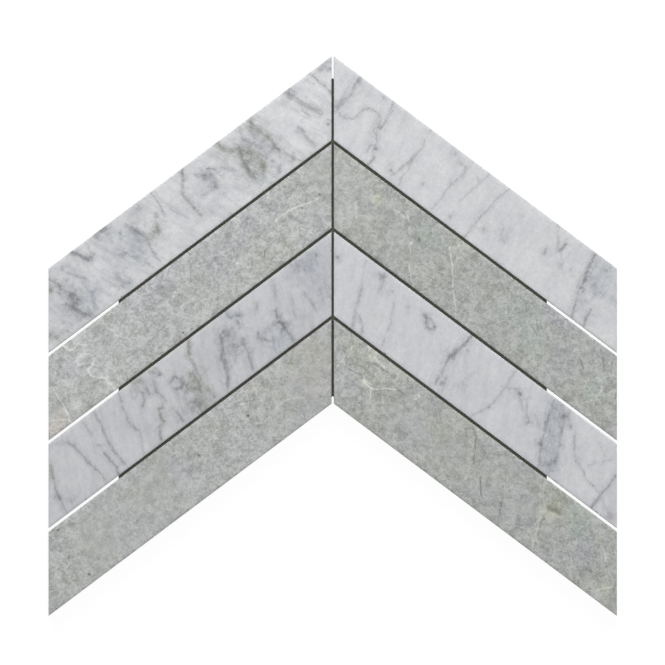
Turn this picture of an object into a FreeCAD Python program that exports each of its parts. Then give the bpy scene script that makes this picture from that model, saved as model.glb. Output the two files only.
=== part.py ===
"""Chevron wall tile: a mosaic sheet of eight sawn marble strips bonded to one thin backing.

Four courses of two strips meet at a vertical spine and slope down from it to both sides. White and green
marble take turns from the top course down. The sheet lies face up: X runs across it, Y towards the point of
the chevron and Z out of the face. The origin is the middle of the sheet's outline, on the backing's back.
"""

import FreeCAD, Part
import os
import Sketcher

OUT_FOLDER = "parts"

# The courses from the top down, and the side of the spine that each strip of a course lies on.
COURSES = ["white_marble_upper", "green_marble_upper", "white_marble_lower", "green_marble_lower"]
SIDES = {"left": -1, "right": 1}

# Driving dimensions in millimetres, and the chevron's angle in degrees.
SIZES = {
    "strip_run": (151.2, "from the spine end of a strip to its outer end, measured across the sheet"),
    "strip_width": (36.0, "sawn width of a strip, square to its long edges"),
    "strip_thick": (9.5, "thickness of the stone"),
    "chevron_angle": (36.87, "slope of the long edges below the horizontal"),
    "course_joint": (1.5, "gap between two courses, square to the long edges"),
    "spine_joint": (1.2, "gap between the left and right strips"),
    "arris": (0.5, "bevel rubbed on the edges of each strip's face"),
    "backing_thick": (0.6, "thickness of the backing"),
    "backing_side_inset": (37.3, "from a strip's outer end to the side of the backing"),
    "backing_top_inset": (9.6, "from the top course's upper edge to the backing, square to it"),
    "backing_bottom_inset": (2.8, "from the bottom course's lower edge to the backing, square to it"),
}

# What follows from the driving dimensions, as formulas of the sheet. Heights are measured along Y.
DERIVED = {
    "slope": "=tan(chevron_angle * 1 deg)",
    "steepness": "=cos(chevron_angle * 1 deg)",
    "drop": "=strip_run * slope",
    "strip_height": "=strip_width / steepness",
    "joint_height": "=course_joint / steepness",
    "course_pitch": "=strip_height + joint_height",
    "stack_height": f"={len(COURSES)} * course_pitch - joint_height",
    "top_corner": "=(drop + stack_height) / 2",
    "spine_half": "=spine_joint / 2",
    "outline_peak": "=top_corner + spine_half * slope",
    "backing_half": "=spine_half + strip_run - backing_side_inset",
    "backing_drop": "=backing_half * slope",
    "backing_peak": "=outline_peak - backing_top_inset / steepness",
    "backing_height": "=stack_height - (backing_top_inset + backing_bottom_inset) / steepness",
}

# How a sketch names the ends of a line, its own origin and its upright axis.
START, END = 1, 2
ORIGIN_POINT = (-1, 1)
UPRIGHT_AXIS = -2


def make_sheet(doc):
    """The spreadsheet that every feature reads its sizes from."""
    sheet = doc.addObject("Spreadsheet::Sheet", "Sizes")
    rows = [(alias, str(value), meaning) for alias, (value, meaning) in SIZES.items()]
    rows += [(alias, formula, alias.replace("_", " ")) for alias, formula in DERIVED.items()]
    for row, (alias, content, meaning) in enumerate(rows, start=1):
        sheet.set(f"A{row}", meaning)
        sheet.set(f"B{row}", content)
        sheet.setAlias(f"B{row}", alias)
        doc.recompute()
    return sheet


def flat_sketch(body, name):
    """An empty sketch on the body's own XY plane."""
    sketch = body.newObject("Sketcher::SketchObject", name)
    plane = next(feature for feature in body.Origin.OriginFeatures if feature.Role == "XY_Plane")
    sketch.AttachmentSupport = [(plane, "")]
    sketch.MapMode = "FlatFace"
    return sketch


def draw_outline(sketch, points):
    """Closed outline of straight lines. Line n runs from point n to the next one."""
    corners = [FreeCAD.Vector(x, y, 0) for x, y in points]
    for start, end in zip(corners, corners[1:] + corners[:1]):
        sketch.addGeometry(Part.LineSegment(start, end), False)
    for line in range(len(corners)):
        following = (line + 1) % len(corners)
        sketch.addConstraint(Sketcher.Constraint("Coincident", line, END, following, START))


def drive(sketch, kind, ends, value, formula):
    """A distance between two points of the sketch, tied to a formula of the sheet."""
    index = sketch.addConstraint(Sketcher.Constraint(kind, *ends, value))
    sketch.setExpression(f"Constraints[{index}]", formula)


def pad_up(body, sketch, thickness):
    """The sketch's solid, raised by a size of the sheet."""
    pad = body.newObject("PartDesign::Pad", f"{body.Name}_slab")
    pad.Profile = sketch
    pad.setExpression("Length", thickness)
    return pad


def top_face_name(shape):
    """The name of the highest face."""
    highest = max(range(len(shape.Faces)), key=lambda index: shape.Faces[index].CenterOfMass.z)
    return f"Face{highest + 1}"


def make_strip(doc, sheet, name, course, side):
    """One sawn strip: a parallelogram slab with upright ends and a bevel round its face."""
    run = side * float(sheet.strip_run)
    drop = float(sheet.drop)
    height = float(sheet.strip_height)
    body = doc.addObject("PartDesign::Body", name)
    body.Label = name
    sketch = flat_sketch(body, f"{name}_outline")
    draw_outline(sketch, [(0, 0), (run, -drop), (run, -drop - height), (0, -height)])
    upper, outer_end, lower, spine_end = range(4)
    sketch.addConstraint(Sketcher.Constraint("Coincident", upper, START, *ORIGIN_POINT))
    sketch.addConstraint(Sketcher.Constraint("Vertical", outer_end))
    sketch.addConstraint(Sketcher.Constraint("Vertical", spine_end))
    sketch.addConstraint(Sketcher.Constraint("Parallel", upper, lower))
    across = (upper, START, upper, END) if side > 0 else (upper, END, upper, START)
    drive(sketch, "DistanceX", across, abs(run), "Sizes.strip_run")
    drive(sketch, "DistanceY", (upper, END, upper, START), drop, "Sizes.drop")
    drive(sketch, "DistanceY", (outer_end, END, outer_end, START), height, "Sizes.strip_height")
    pad = pad_up(body, sketch, "Sizes.strip_thick")
    doc.recompute()
    bevel = body.newObject("PartDesign::Chamfer", f"{name}_arris")
    bevel.Base = (pad, [top_face_name(pad.Shape)])
    bevel.setExpression("Size", "Sizes.arris")
    body.Tip = bevel
    body.setExpression("Placement.Base.x", f"{side} * Sizes.spine_half")
    body.setExpression("Placement.Base.y", f"Sizes.top_corner - {course} * Sizes.course_pitch")
    body.setExpression("Placement.Base.z", "Sizes.backing_thick")
    return body


def make_backing(doc, sheet):
    """The backing: one thin chevron under all the strips, with upright sides."""
    half = float(sheet.backing_half)
    drop = float(sheet.backing_drop)
    peak = float(sheet.backing_peak)
    height = float(sheet.backing_height)
    body = doc.addObject("PartDesign::Body", "mesh_backing")
    body.Label = "mesh_backing"
    sketch = flat_sketch(body, "mesh_backing_outline")
    upper_points = [(-half, peak - drop), (0, peak), (half, peak - drop)]
    lower_points = [(x, y - height) for x, y in reversed(upper_points)]
    draw_outline(sketch, upper_points + lower_points)
    top_left, top_right, right_side, low_right, low_left, left_side = range(6)
    for line in (right_side, left_side):
        sketch.addConstraint(Sketcher.Constraint("Vertical", line))
    for line in (top_right, low_left):
        sketch.addConstraint(Sketcher.Constraint("PointOnObject", line, START, UPRIGHT_AXIS))
    for upper, lower in ((top_left, low_left), (top_right, low_right)):
        sketch.addConstraint(Sketcher.Constraint("Parallel", upper, lower))
    for line in (top_left, top_right):
        drive(sketch, "DistanceX", (line, START, line, END), half, "Sizes.backing_half")
    drive(sketch, "DistanceY", (top_left, START, top_left, END), drop, "Sizes.backing_drop")
    drive(sketch, "DistanceY", (top_right, END, top_right, START), drop, "Sizes.backing_drop")
    drive(sketch, "DistanceY", (*ORIGIN_POINT, top_right, START), peak, "Sizes.backing_peak")
    drive(sketch, "DistanceY", (low_left, START, top_right, START), height, "Sizes.backing_height")
    pad_up(body, sketch, "Sizes.backing_thick")
    return body


def check_document(doc, bodies):
    """Stops the build if a feature failed or a piece is not one valid solid."""
    for item in doc.Objects:
        if {"Invalid", "Error"} & set(item.State):
            raise RuntimeError(f"{item.Name} failed: {item.State}")
    for body in bodies:
        shape = body.Shape
        if shape.isNull() or not shape.isValid() or len(shape.Solids) != 1:
            raise RuntimeError(f"{body.Label} is not one valid solid")


def main():
    doc = FreeCAD.newDocument("chevron_wall_tile")
    sheet = make_sheet(doc)
    bodies = [make_backing(doc, sheet)]
    for course, course_name in enumerate(COURSES):
        for side_name, side in SIDES.items():
            bodies.append(make_strip(doc, sheet, f"{course_name}_{side_name}", course, side))
    doc.recompute()
    check_document(doc, bodies)
    os.makedirs(OUT_FOLDER, exist_ok=True)
    for body in bodies:
        body.Shape.exportStep(os.path.join(OUT_FOLDER, f"{body.Label}.step"))
        box = body.Shape.BoundBox
        print(
            f"{body.Label}: x {box.XMin:.3f} to {box.XMax:.3f}, y {box.YMin:.3f} to {box.YMax:.3f},"
            f" z {box.ZMin:.3f} to {box.ZMax:.3f}, {body.Shape.Volume:.1f} mm3"
        )


main()
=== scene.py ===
"""Looks of the chevron wall tile: a mosaic sheet of white and pale green marble strips on a net backing.

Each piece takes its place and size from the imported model. Lengths are in metres, except on the face of a
strip, where marks are placed in millimetres along its upper edge from the spine and square down from it.
"""

import math

import bpy
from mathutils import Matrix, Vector


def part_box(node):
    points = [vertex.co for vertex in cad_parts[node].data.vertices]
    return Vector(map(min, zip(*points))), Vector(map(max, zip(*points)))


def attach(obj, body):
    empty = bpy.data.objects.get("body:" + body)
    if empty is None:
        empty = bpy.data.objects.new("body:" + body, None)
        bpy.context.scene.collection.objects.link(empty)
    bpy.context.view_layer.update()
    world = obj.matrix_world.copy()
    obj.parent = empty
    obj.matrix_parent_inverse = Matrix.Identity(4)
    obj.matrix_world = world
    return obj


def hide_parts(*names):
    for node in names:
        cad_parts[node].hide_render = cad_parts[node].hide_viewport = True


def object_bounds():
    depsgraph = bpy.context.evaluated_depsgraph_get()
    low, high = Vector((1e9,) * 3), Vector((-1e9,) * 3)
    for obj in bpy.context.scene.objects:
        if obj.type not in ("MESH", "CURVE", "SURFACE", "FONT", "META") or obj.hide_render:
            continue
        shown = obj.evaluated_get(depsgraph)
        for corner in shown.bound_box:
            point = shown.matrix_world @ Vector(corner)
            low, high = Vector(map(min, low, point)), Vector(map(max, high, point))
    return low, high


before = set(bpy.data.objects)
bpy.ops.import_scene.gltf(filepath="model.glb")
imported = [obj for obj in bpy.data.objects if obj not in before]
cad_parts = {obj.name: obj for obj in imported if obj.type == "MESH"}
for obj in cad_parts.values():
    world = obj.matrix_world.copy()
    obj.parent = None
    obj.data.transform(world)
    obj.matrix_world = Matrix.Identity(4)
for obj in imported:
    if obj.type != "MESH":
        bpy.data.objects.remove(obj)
cad_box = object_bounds()


# BACKING
# A net of glass-fibre strands rolled into a thin film of grey resin. The eight strips are bonded to the film
# while it is wet. It lies in shade at the bottom of the joints, and the net stands proud on the back.

MM = 0.001


class Socket:
    """An output of a node tree. Sums written with it add Math nodes to that tree."""

    def __init__(self, tree, output=None):
        self.tree = tree
        self.output = output

    def node(self, kind, settings=None, sockets=None, result=0):
        """Any node: its type, its settings, then the values or links of its sockets."""
        made = self.tree.nodes.new(kind)
        for name, value in (settings or {}).items():
            setattr(made, name, value)
        for key, value in (sockets or {}).items():
            for item in value if isinstance(value, list) else [value]:
                if isinstance(item, Socket):
                    self.tree.links.new(item.output, made.inputs[key])
                else:
                    made.inputs[key].default_value = item
        return Socket(self.tree, made.outputs[result])

    def maths(self, operation, *values):
        return self.node("ShaderNodeMath", {"operation": operation}, dict(enumerate(values)))

    def vector(self, operation, *values, result=0):
        return self.node("ShaderNodeVectorMath", {"operation": operation}, dict(enumerate(values)), result)

    def ranged(self, low, high, to_low=0.0, to_high=1.0, kind="LINEAR"):
        """The value moved from one range to another, and held inside it."""
        sockets = {"Value": self, "From Min": low, "From Max": high, "To Min": to_low, "To Max": to_high}
        settings = {"interpolation_type": kind, "clamp": kind == "LINEAR"}
        return self.node("ShaderNodeMapRange", settings, sockets)

    def part(self, axis):
        return self.node("ShaderNodeSeparateXYZ", None, {0: self}, axis)

    def noise(self, scale, detail=2.0, roughness=0.5, result="Fac"):
        """Cloudy noise read at this place."""
        sockets = {"Vector": self, "Scale": scale, "Detail": detail, "Roughness": roughness}
        return self.node("ShaderNodeTexNoise", None, sockets, result)

    def between(self, first, last):
        """The colour that lies this share of the way from one colour to another."""
        settings = {"data_type": "RGBA", "clamp_factor": True}
        return self.node("ShaderNodeMix", settings, {0: self, 6: first, 7: last}, 2)

    def tinted(self, amount, colour):
        """This colour, moved towards another one by an amount from 0 to 1."""
        return amount.between(self, colour)

    def __add__(self, other):
        return self.maths("ADD", self, other)

    def __radd__(self, other):
        return self.maths("ADD", other, self)

    def __sub__(self, other):
        return self.maths("SUBTRACT", self, other)

    def __rsub__(self, other):
        return self.maths("SUBTRACT", other, self)

    def __mul__(self, other):
        return self.maths("MULTIPLY", self, other)

    def __rmul__(self, other):
        return self.maths("MULTIPLY", other, self)

    def __truediv__(self, other):
        return self.maths("DIVIDE", self, other)

    def __rtruediv__(self, other):
        return self.maths("DIVIDE", other, self)

    def __pow__(self, other):
        return self.maths("POWER", self, other)

    def __abs__(self):
        return self.maths("ABSOLUTE", self)


def paint(red, green, blue):
    """A colour as the eye reads it from 0 to 255, turned into the light it sends back."""
    shares = [value / 255 for value in (red, green, blue)]
    light = [s / 12.92 if s <= 0.04045 else ((s + 0.055) / 1.055) ** 2.4 for s in shares]
    return (*light, 1.0)


def new_finish(name):
    """A material with an empty tree, its shader and a socket to start its maths from."""
    material = bpy.data.materials.new(name)
    material.use_nodes = True
    tree = material.node_tree
    return material, tree.nodes["Principled BSDF"], Socket(tree)


def feed(shader, **sockets):
    """Links a socket, or sets a plain value, on each named input of the shader."""
    for name, value in sockets.items():
        target = shader.inputs[name.replace("_", " ").title().replace("Ior", "IOR")]
        if isinstance(value, Socket):
            value.tree.links.new(value.output, target)
        else:
            target.default_value = value


def named_tree(name, kind, inputs, result):
    """A node tree with a named input of each kind and one result, and its inputs as sockets."""
    tree = bpy.data.node_groups.new(name, kind)
    for label, value_kind in inputs.items():
        tree.interface.new_socket(label, in_out="INPUT", socket_type=f"NodeSocket{value_kind}")
    tree.interface.new_socket(result, in_out="OUTPUT", socket_type=f"NodeSocket{result}")
    group = tree.nodes.new("NodeGroupInput")
    return tree, {label: Socket(tree, group.outputs[label]) for label in inputs}


def end_tree(result):
    """Sends a socket out of its tree as the tree's result."""
    ending = result.tree.nodes.new("NodeGroupOutput")
    result.tree.links.new(result.output, ending.inputs[0])


def close_tree(shape, material):
    """Ends a tree in real geometry that wears its material."""
    real = shape.node("GeometryNodeRealizeInstances", None, {0: shape})
    end_tree(real.node("GeometryNodeSetMaterial", None, {"Geometry": real, "Material": material}))


def make_piece(name, tree, sizes):
    """The tree's shape at these sizes as a plain mesh, with no modifier left on it."""
    piece = bpy.data.objects.new(name, bpy.data.meshes.new(name))
    bpy.context.scene.collection.objects.link(piece)
    modifier = piece.modifiers.new("shape", "NODES")
    modifier.node_group = tree
    identifiers = {item.name: item.identifier for item in tree.interface.items_tree if item.in_out == "INPUT"}
    for label, value in sizes.items():
        modifier[identifiers[label]] = value
    evaluated = piece.evaluated_get(bpy.context.evaluated_depsgraph_get())
    mesh = bpy.data.meshes.new_from_object(evaluated)
    piece.modifiers.remove(modifier)
    piece.data = mesh
    return piece


def add_piece(piece, node):
    """Puts a finished piece in the place of its CAD node."""
    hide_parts(node)
    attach(piece, "root")


def upright_edge(node, x):
    """The highest and lowest y of a node's outline at one of its upright ends."""
    heights = [v.co.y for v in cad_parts[node].data.vertices if abs(v.co.x - x) < 0.01 * MM]
    return max(heights), min(heights)


# The film is what is left of the backing above the net. A strand is a flat bundle of fibres, and the upright
# ones lie a little above the level ones.
FILM = 0.25 * MM
STRAND_WIDTH = 0.9 * MM
STRAND_DEPTH = 0.36 * MM
STRAND_SIDES = 8
WEAVE = 0.06 * MM
NET_PITCH = 5.0 * MM
NET_MARGIN = 0.5 * MM

RESIN = paint(167, 166, 150)
RESIN_THIN = paint(181, 180, 163)
FIBRE = paint(214, 215, 209)

backing_tree, size = named_tree("net backing", "GeometryNodeTree", {
    "Half Width": "Float", "Peak": "Float", "Height": "Float", "Slope": "Float", "Thickness": "Float",
    "Material": "Material",
}, "Geometry")
half, peak, height, slope = size["Half Width"], size["Peak"], size["Height"], size["Slope"]
nodes = Socket(backing_tree)

slab = nodes.node("GeometryNodeMeshCube", None, {"Size": (1, 1, 1), "Vertices X": 3})
spot = nodes.node("GeometryNodeInputPosition")
film_x = spot.part(0) * 2 * half
film_y = peak - abs(film_x) * slope - (0.5 - spot.part(1)) * height
film_z = size["Thickness"] - (0.5 - spot.part(2)) * FILM
film_place = nodes.node("ShaderNodeCombineXYZ", None, {0: film_x, 1: film_y, 2: film_z})
film = nodes.node("GeometryNodeSetPosition", None, {"Geometry": slab, "Position": film_place})

strand = nodes.node(
    "GeometryNodeMeshCylinder", {"fill_type": "NGON"},
    {"Vertices": STRAND_SIDES, "Radius": 0.5, "Depth": 1.0},
)


def lay_strands(count, place, turn, length, kept):
    """A strand at each point of a line: its place, turn and length are worked out from the point's index."""
    row = nodes.node("GeometryNodeMeshLine", None, {"Count": count})
    row = nodes.node("GeometryNodeSetPosition", None, {"Geometry": row, "Position": place})
    reach = nodes.node("ShaderNodeCombineXYZ", None, {0: STRAND_WIDTH, 1: STRAND_DEPTH, 2: length})
    sockets = {"Points": row, "Selection": kept, "Instance": strand, "Rotation": turn, "Scale": reach}
    return nodes.node("GeometryNodeInstanceOnPoints", None, sockets)


order = nodes.node("GeometryNodeInputIndex")
upright_count = nodes.maths("FLOOR", (half - NET_MARGIN) / NET_PITCH) * 2 + 1
upright_x = (order - (upright_count - 1) / 2) * NET_PITCH
upright_place = nodes.node("ShaderNodeCombineXYZ", None, {
    0: upright_x, 1: peak - abs(upright_x) * slope - height / 2, 2: STRAND_DEPTH / 2 + WEAVE,
})
QUARTER = math.pi / 2
upright = lay_strands(upright_count, upright_place, (QUARTER, 0, 0), height - 2 * NET_MARGIN, True)

level_y = peak - NET_PITCH * (order + 1)
level_count = nodes.maths("FLOOR", (height + half * slope) / NET_PITCH)
level_in = nodes.maths("MAXIMUM", (peak - height - level_y) / slope + NET_MARGIN, STRAND_WIDTH / 4)
level_out = nodes.maths("MINIMUM", (peak - level_y) / slope, half) - NET_MARGIN
level_length = level_out - level_in
level_kept = level_length.maths("GREATER_THAN", level_length, NET_PITCH / 2)
level = []
for hand in (-1, 1):
    level_place = nodes.node("ShaderNodeCombineXYZ", None, {
        0: (level_in + level_out) * (hand / 2), 1: level_y, 2: STRAND_DEPTH / 2,
    })
    level.append(lay_strands(level_count, level_place, (QUARTER, 0, QUARTER), level_length, level_kept))

net = nodes.node("GeometryNodeJoinGeometry", None, {0: [upright, *level]})
net = nodes.node("GeometryNodeRealizeInstances", None, {0: net})
net = nodes.node("GeometryNodeStoreNamedAttribute", None, {"Geometry": net, "Name": "fibre", "Value": 1.0})
close_tree(nodes.node("GeometryNodeJoinGeometry", None, {0: [film, net]}), size["Material"])

resin, shader, start = new_finish("resin and net")
place = start.node("ShaderNodeTexCoord", result="Object")
fibre = start.node("ShaderNodeAttribute", {"attribute_name": "fibre"}, result="Fac")
patches = place.noise(140.0, 4.0, 0.6)
threads = place.vector("MULTIPLY", place, (1.0, 1.0, 0.4)).noise(2600.0, 2.0)
colour = patches.ranged(0.35, 0.65).between(RESIN, RESIN_THIN)
colour = colour.tinted(fibre * threads.ranged(0.3, 0.7, 0.35, 0.9), FIBRE)
dimples = start.node("ShaderNodeBump", None, {
    "Strength": 0.35, "Distance": 0.15 * MM, "Height": place.noise(900.0, 3.0),
})
feed(shader, base_color=colour, roughness=patches.ranged(0.3, 0.7, 0.62, 0.8), normal=dimples)

back_low, back_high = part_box("mesh_backing")
back_side_top, back_side_low = upright_edge("mesh_backing", back_high[0])
backing = make_piece("net_backing", backing_tree, {
    "Half Width": back_high[0],
    "Peak": back_high[1],
    "Height": back_side_top - back_side_low,
    "Slope": (back_high[1] - back_side_top) / back_high[0],
    "Thickness": back_high[2],
    "Material": resin,
})
add_piece(backing, "mesh_backing")


# WHITE MARBLE STRIPS
# Cool white marble with smoky grey veins, sawn into strips 9.5 mm thick and honed on the face. The first and
# third courses are white. The edges of the face are rubbed with a stone, which leaves a few small chips.

ARRIS = 0.4 * MM
ARRIS_ROWS = 3
EASED = 0.12 * MM
EASED_REACH = 2.2 * MM
EASED_ROWS = 4
CHIP_DEPTH = 0.4 * MM
CHIP_REACH = 1.4 * MM
COLUMNS, ROWS, LAYERS = 236, 50, 7

strip_tree, size = named_tree("sawn strip", "GeometryNodeTree", {
    "Side": "Float", "Corner": "Vector", "Run": "Float", "Drop": "Float", "Height": "Float",
    "Thickness": "Float", "Seed": "Float", "Material": "Material",
}, "Geometry")
nodes = Socket(strip_tree)
side, run, drop, height = size["Side"], size["Run"], size["Drop"], size["Height"]
steepness = run / nodes.maths("SQRT", run * run + drop * drop)


def spaced(share, cells, length, stretch):
    """Distance from the first edge, with close rows in the arris and in the eased rim of both edges."""
    step = share * cells
    rim_rows = ARRIS_ROWS + EASED_ROWS
    arris, eased = ARRIS * stretch, (EASED_REACH - ARRIS) * stretch
    first = step.ranged(0, ARRIS_ROWS, 0.0, arris) + step.ranged(ARRIS_ROWS, rim_rows, 0.0, eased)
    inner = step.ranged(rim_rows, cells - rim_rows, 0.0, length - 2 * (arris + eased))
    last = step.ranged(cells - rim_rows, cells - ARRIS_ROWS, 0.0, eased)
    return first + inner + last + step.ranged(cells - ARRIS_ROWS, cells, 0.0, arris)


block = nodes.node("GeometryNodeMeshCube", None, {
    "Size": (1, 1, 1), "Vertices X": COLUMNS, "Vertices Y": ROWS, "Vertices Z": LAYERS,
})
spot = nodes.node("GeometryNodeInputPosition")
along = spaced(spot.part(0) + 0.5, COLUMNS - 1, run, 1.0)
down = spaced(0.5 - spot.part(1), ROWS - 1, height, 1 / steepness)
layer = spot.part(2) + 0.5
from_end = nodes.maths("MINIMUM", along, run - along)
from_edge = nodes.maths("MINIMUM", down, height - down) * steepness
from_rim = nodes.maths("MINIMUM", from_end, from_edge)

ground = nodes.node("ShaderNodeCombineXYZ", None, {0: along, 1: down, 2: size["Seed"]})
chip = CHIP_DEPTH * ground.noise(260.0, 3.0, 0.65).ranged(0.6, 0.78, kind="SMOOTHSTEP")
wear = ARRIS * ground.noise(90.0, 2.0).ranged(0.3, 0.7, 0.0, 0.35)
rim_drop = 1 - (from_rim / ARRIS).ranged(0.0, 1.0)
rim_drop = ARRIS * (1 - nodes.maths("SQRT", 1 - rim_drop * rim_drop))
worn = (chip + wear) * from_rim.ranged(0.0, CHIP_REACH, 1.0, 0.0, "SMOOTHSTEP")
rounding = EASED * from_rim.ranged(0.0, EASED_REACH, 1.0, 0.0) ** 2
face_z = size["Thickness"] - rim_drop - rounding - worn
side_z = (1 - (1 - layer) ** 2) * (size["Thickness"] - ARRIS - EASED - chip - wear)
on_face = nodes.maths("GREATER_THAN", layer, 0.999)
z = side_z + on_face * (face_z - side_z)

near_face = layer.ranged(0.5, 1.0, kind="SMOOTHSTEP")
end_bite = chip * near_face * from_end.ranged(0.0, CHIP_REACH, 1.0, 0.0)
edge_bite = chip * near_face * from_edge.ranged(0.0, CHIP_REACH, 1.0, 0.0) / steepness
along = along + end_bite * nodes.maths("SIGN", run / 2 - along)
down = down + edge_bite * nodes.maths("SIGN", height / 2 - down)
laid = nodes.node("ShaderNodeCombineXYZ", None, {0: side * along, 1: 0 - along * drop / run - down, 2: z})
laid = nodes.vector("ADD", laid, size["Corner"])
sawn = nodes.node("GeometryNodeSetPosition", None, {"Geometry": block, "Position": laid})
mirrored = side.maths("LESS_THAN", side, 0.0)
close_tree(nodes.node("GeometryNodeFlipFaces", None, {"Mesh": sawn, "Selection": mirrored}), size["Material"])


def strip_facts(node):
    """Where a strip lies: its side of the spine, its upper spine corner, and its run, drop and height."""
    low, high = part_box(node)
    side = 1 if low[0] > 0 else -1
    inner, outer = (low[0], high[0]) if side > 0 else (high[0], low[0])
    top, bottom = upright_edge(node, inner)
    return {
        "Side": float(side),
        "Corner": (inner, top, low[2]),
        "Run": abs(outer - inner),
        "Drop": top - upright_edge(node, outer)[0],
        "Height": top - bottom,
        "Thickness": high[2] - low[2],
    }


def strip_place(start, facts):
    """Where a point lies in its strip, in millimetres: along the upper edge, across it and below the face."""
    length = math.hypot(facts["Run"], facts["Drop"])
    level, fall = facts["Run"] / length, facts["Drop"] / length
    corner = Vector(facts["Corner"]) + Vector((0, 0, facts["Thickness"]))
    place = start.node("ShaderNodeTexCoord", result="Object")
    place = place.vector("SUBTRACT", place, corner)
    along = place.vector("DOT_PRODUCT", place, (facts["Side"] * level / MM, -fall / MM, 0), result="Value")
    across = place.vector("DOT_PRODUCT", place, (-facts["Side"] * fall / MM, -level / MM, 0), result="Value")
    return start.node("ShaderNodeCombineXYZ", None, {0: along, 1: across, 2: place.part(2) * (-1 / MM)})


# One straight run of a vein: the smaller of the distance so far and the distance from a place to the run.
run_group, given = named_tree("vein run", "ShaderNodeTree", {
    "Place": "Vector", "So Far": "Float", "First": "Vector", "Way": "Vector", "Unit": "Vector",
}, "Float")
offset = given["Place"].vector("SUBTRACT", given["Place"], given["First"])
share = offset.vector("DOT_PRODUCT", offset, given["Unit"], result="Value")
share = share.maths("MINIMUM", share.maths("MAXIMUM", share, 0.0), 1.0)
foot = offset.node("ShaderNodeVectorMath", {"operation": "SCALE"}, {0: given["Way"], "Scale": share})
offset = offset.vector("SUBTRACT", offset, foot)
gap = offset.vector("LENGTH", offset, result="Value")
end_tree(gap.maths("MINIMUM", given["So Far"], gap))

# One mark: what it adds to the amount so far. Its core is gone at its width, and a faint skirt runs further.
SKIRT_REACH = 3.2
mark_group, given = named_tree("stone mark", "ShaderNodeTree", {
    "Gap": "Float", "Swell": "Float", "Width": "Float", "Core": "Float", "Skirt": "Float", "So Far": "Float",
}, "Float")
gap = given["Gap"] * given["Swell"] / given["Width"]
core = gap.ranged(1.0, 0.0, kind="SMOOTHSTEP") * given["Core"]
skirt = gap.ranged(SKIRT_REACH, 0.0, kind="SMOOTHSTEP") * given["Skirt"]
end_tree(given["So Far"] + core + skirt)

FAR = 1000.0


def distance_to(place, points):
    """How far a place on the face is from a line through these points."""
    points = [Vector((along, across, 0)) for along, across in points]
    if len(points) == 1:
        return place.vector("DISTANCE", place, points[0], result="Value")
    nearest = FAR
    for first, last in zip(points, points[1:]):
        way = last - first
        nearest = place.node("ShaderNodeGroup", {"node_tree": run_group}, {
            "Place": place, "So Far": nearest, "First": first, "Way": way, "Unit": way / way.length_squared,
        })
    return nearest


def cloudy_shift(place, scale, detail, roughness, reach):
    """A shift in any direction, up to a reach in millimetres, that changes from place to place."""
    shift = place.noise(scale, detail, roughness, "Color")
    return shift.vector("MULTIPLY_ADD", shift, (2 * reach,) * 3, (-reach,) * 3)


# How far a vein moves along the strip for each millimetre of depth, and how much a single spot strays.
LEAN = 0.35
SPOT_WANDER = 0.4


def mark_amounts(place, marks, wander, skirt_share):
    """How much of each tint the listed marks lay on a place of the stone. Lines wander a little."""
    depth = place.part(2)
    drift = place.node("ShaderNodeCombineXYZ", None, {0: depth * LEAN, 1: 0.0, 2: depth * -1})
    flat = place.vector("ADD", place, drift)
    bends = cloudy_shift(place, 0.2, 4.0, 0.65, 2.0)
    stray = bends.vector("ADD", bends, cloudy_shift(place, 0.8, 2.0, 0.6, 0.8))
    spots = flat.vector("MULTIPLY_ADD", stray, (SPOT_WANDER, SPOT_WANDER, 0), flat)
    lines = flat.vector("MULTIPLY_ADD", stray, (wander, wander, 0), flat)
    swell = place.noise(0.3, 2.0).ranged(0.3, 0.7, 1.5, 0.7)
    amounts = {}
    for tint, drawn in marks.items():
        amount = 0.0
        for width, strength, *points in drawn:
            amount = flat.node("ShaderNodeGroup", {"node_tree": mark_group}, {
                "Gap": distance_to(spots if len(points) == 1 else lines, points),
                "Swell": swell, "Width": width, "So Far": amount,
                "Core": strength * (1 - skirt_share), "Skirt": strength * skirt_share,
            })
        amounts[tint] = amount
    return amounts


def stained(ground, tints, amounts, broken):
    """The ground under its marks. Where marks lie on each other, the tint thickens less and less."""
    for tint, colour in tints.items():
        if tint in amounts:
            bare = amounts[tint] * broken * -1
            ground = ground.tinted(1 - bare.maths("EXPONENT", bare), colour)
    return ground


HONED, SAWN = 0.46, 0.78
SAW_DUST = paint(205, 205, 203)


def sawn_finish(shader, place, colour):
    """Honed face, rough sawn sides and back: links colour, roughness and relief to the shader."""
    cut = place.part(2).ranged(0.35, 0.9)
    stripes = place.vector("MULTIPLY", place, (0.05, 0.05, 1.0)).noise(3.0, 3.0)
    grain = place.noise(1.6, 3.0, 0.6)
    colour = colour.tinted(cut * stripes.ranged(0.3, 0.7, 0.12, 0.4), SAW_DUST)
    relief = place.node("ShaderNodeBump", None, {"Strength": 0.12, "Distance": 0.1 * MM, "Height": grain})
    honed = grain.ranged(0.3, 0.7, HONED - 0.05, HONED + 0.07)
    feed(shader, base_color=colour, roughness=honed + cut * (SAWN - HONED), normal=relief)


WHITE_TINTS = {
    "violet": paint(136, 135, 146),
    "blue": paint(130, 138, 147),
    "olive": paint(116, 118, 108),
    "grey": paint(108, 110, 115),
    "white": paint(232, 233, 234),
}
WHITE_WANDER, WHITE_SKIRT = 0.6, 0.24
COOL_GREY = paint(180, 185, 197)
SMOKE_GREY = paint(150, 152, 155)
GRAIN_GREY = paint(150, 151, 153)
FADE_LENGTH = 210.0
STOCK_STEP = (310.0, 170.0, 0.0)


def stock_place(place, seed):
    """The same place in the block of stone. Each strip is cut from its own part of the block."""
    return place.vector("ADD", place, tuple(seed * step for step in STOCK_STEP))


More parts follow.
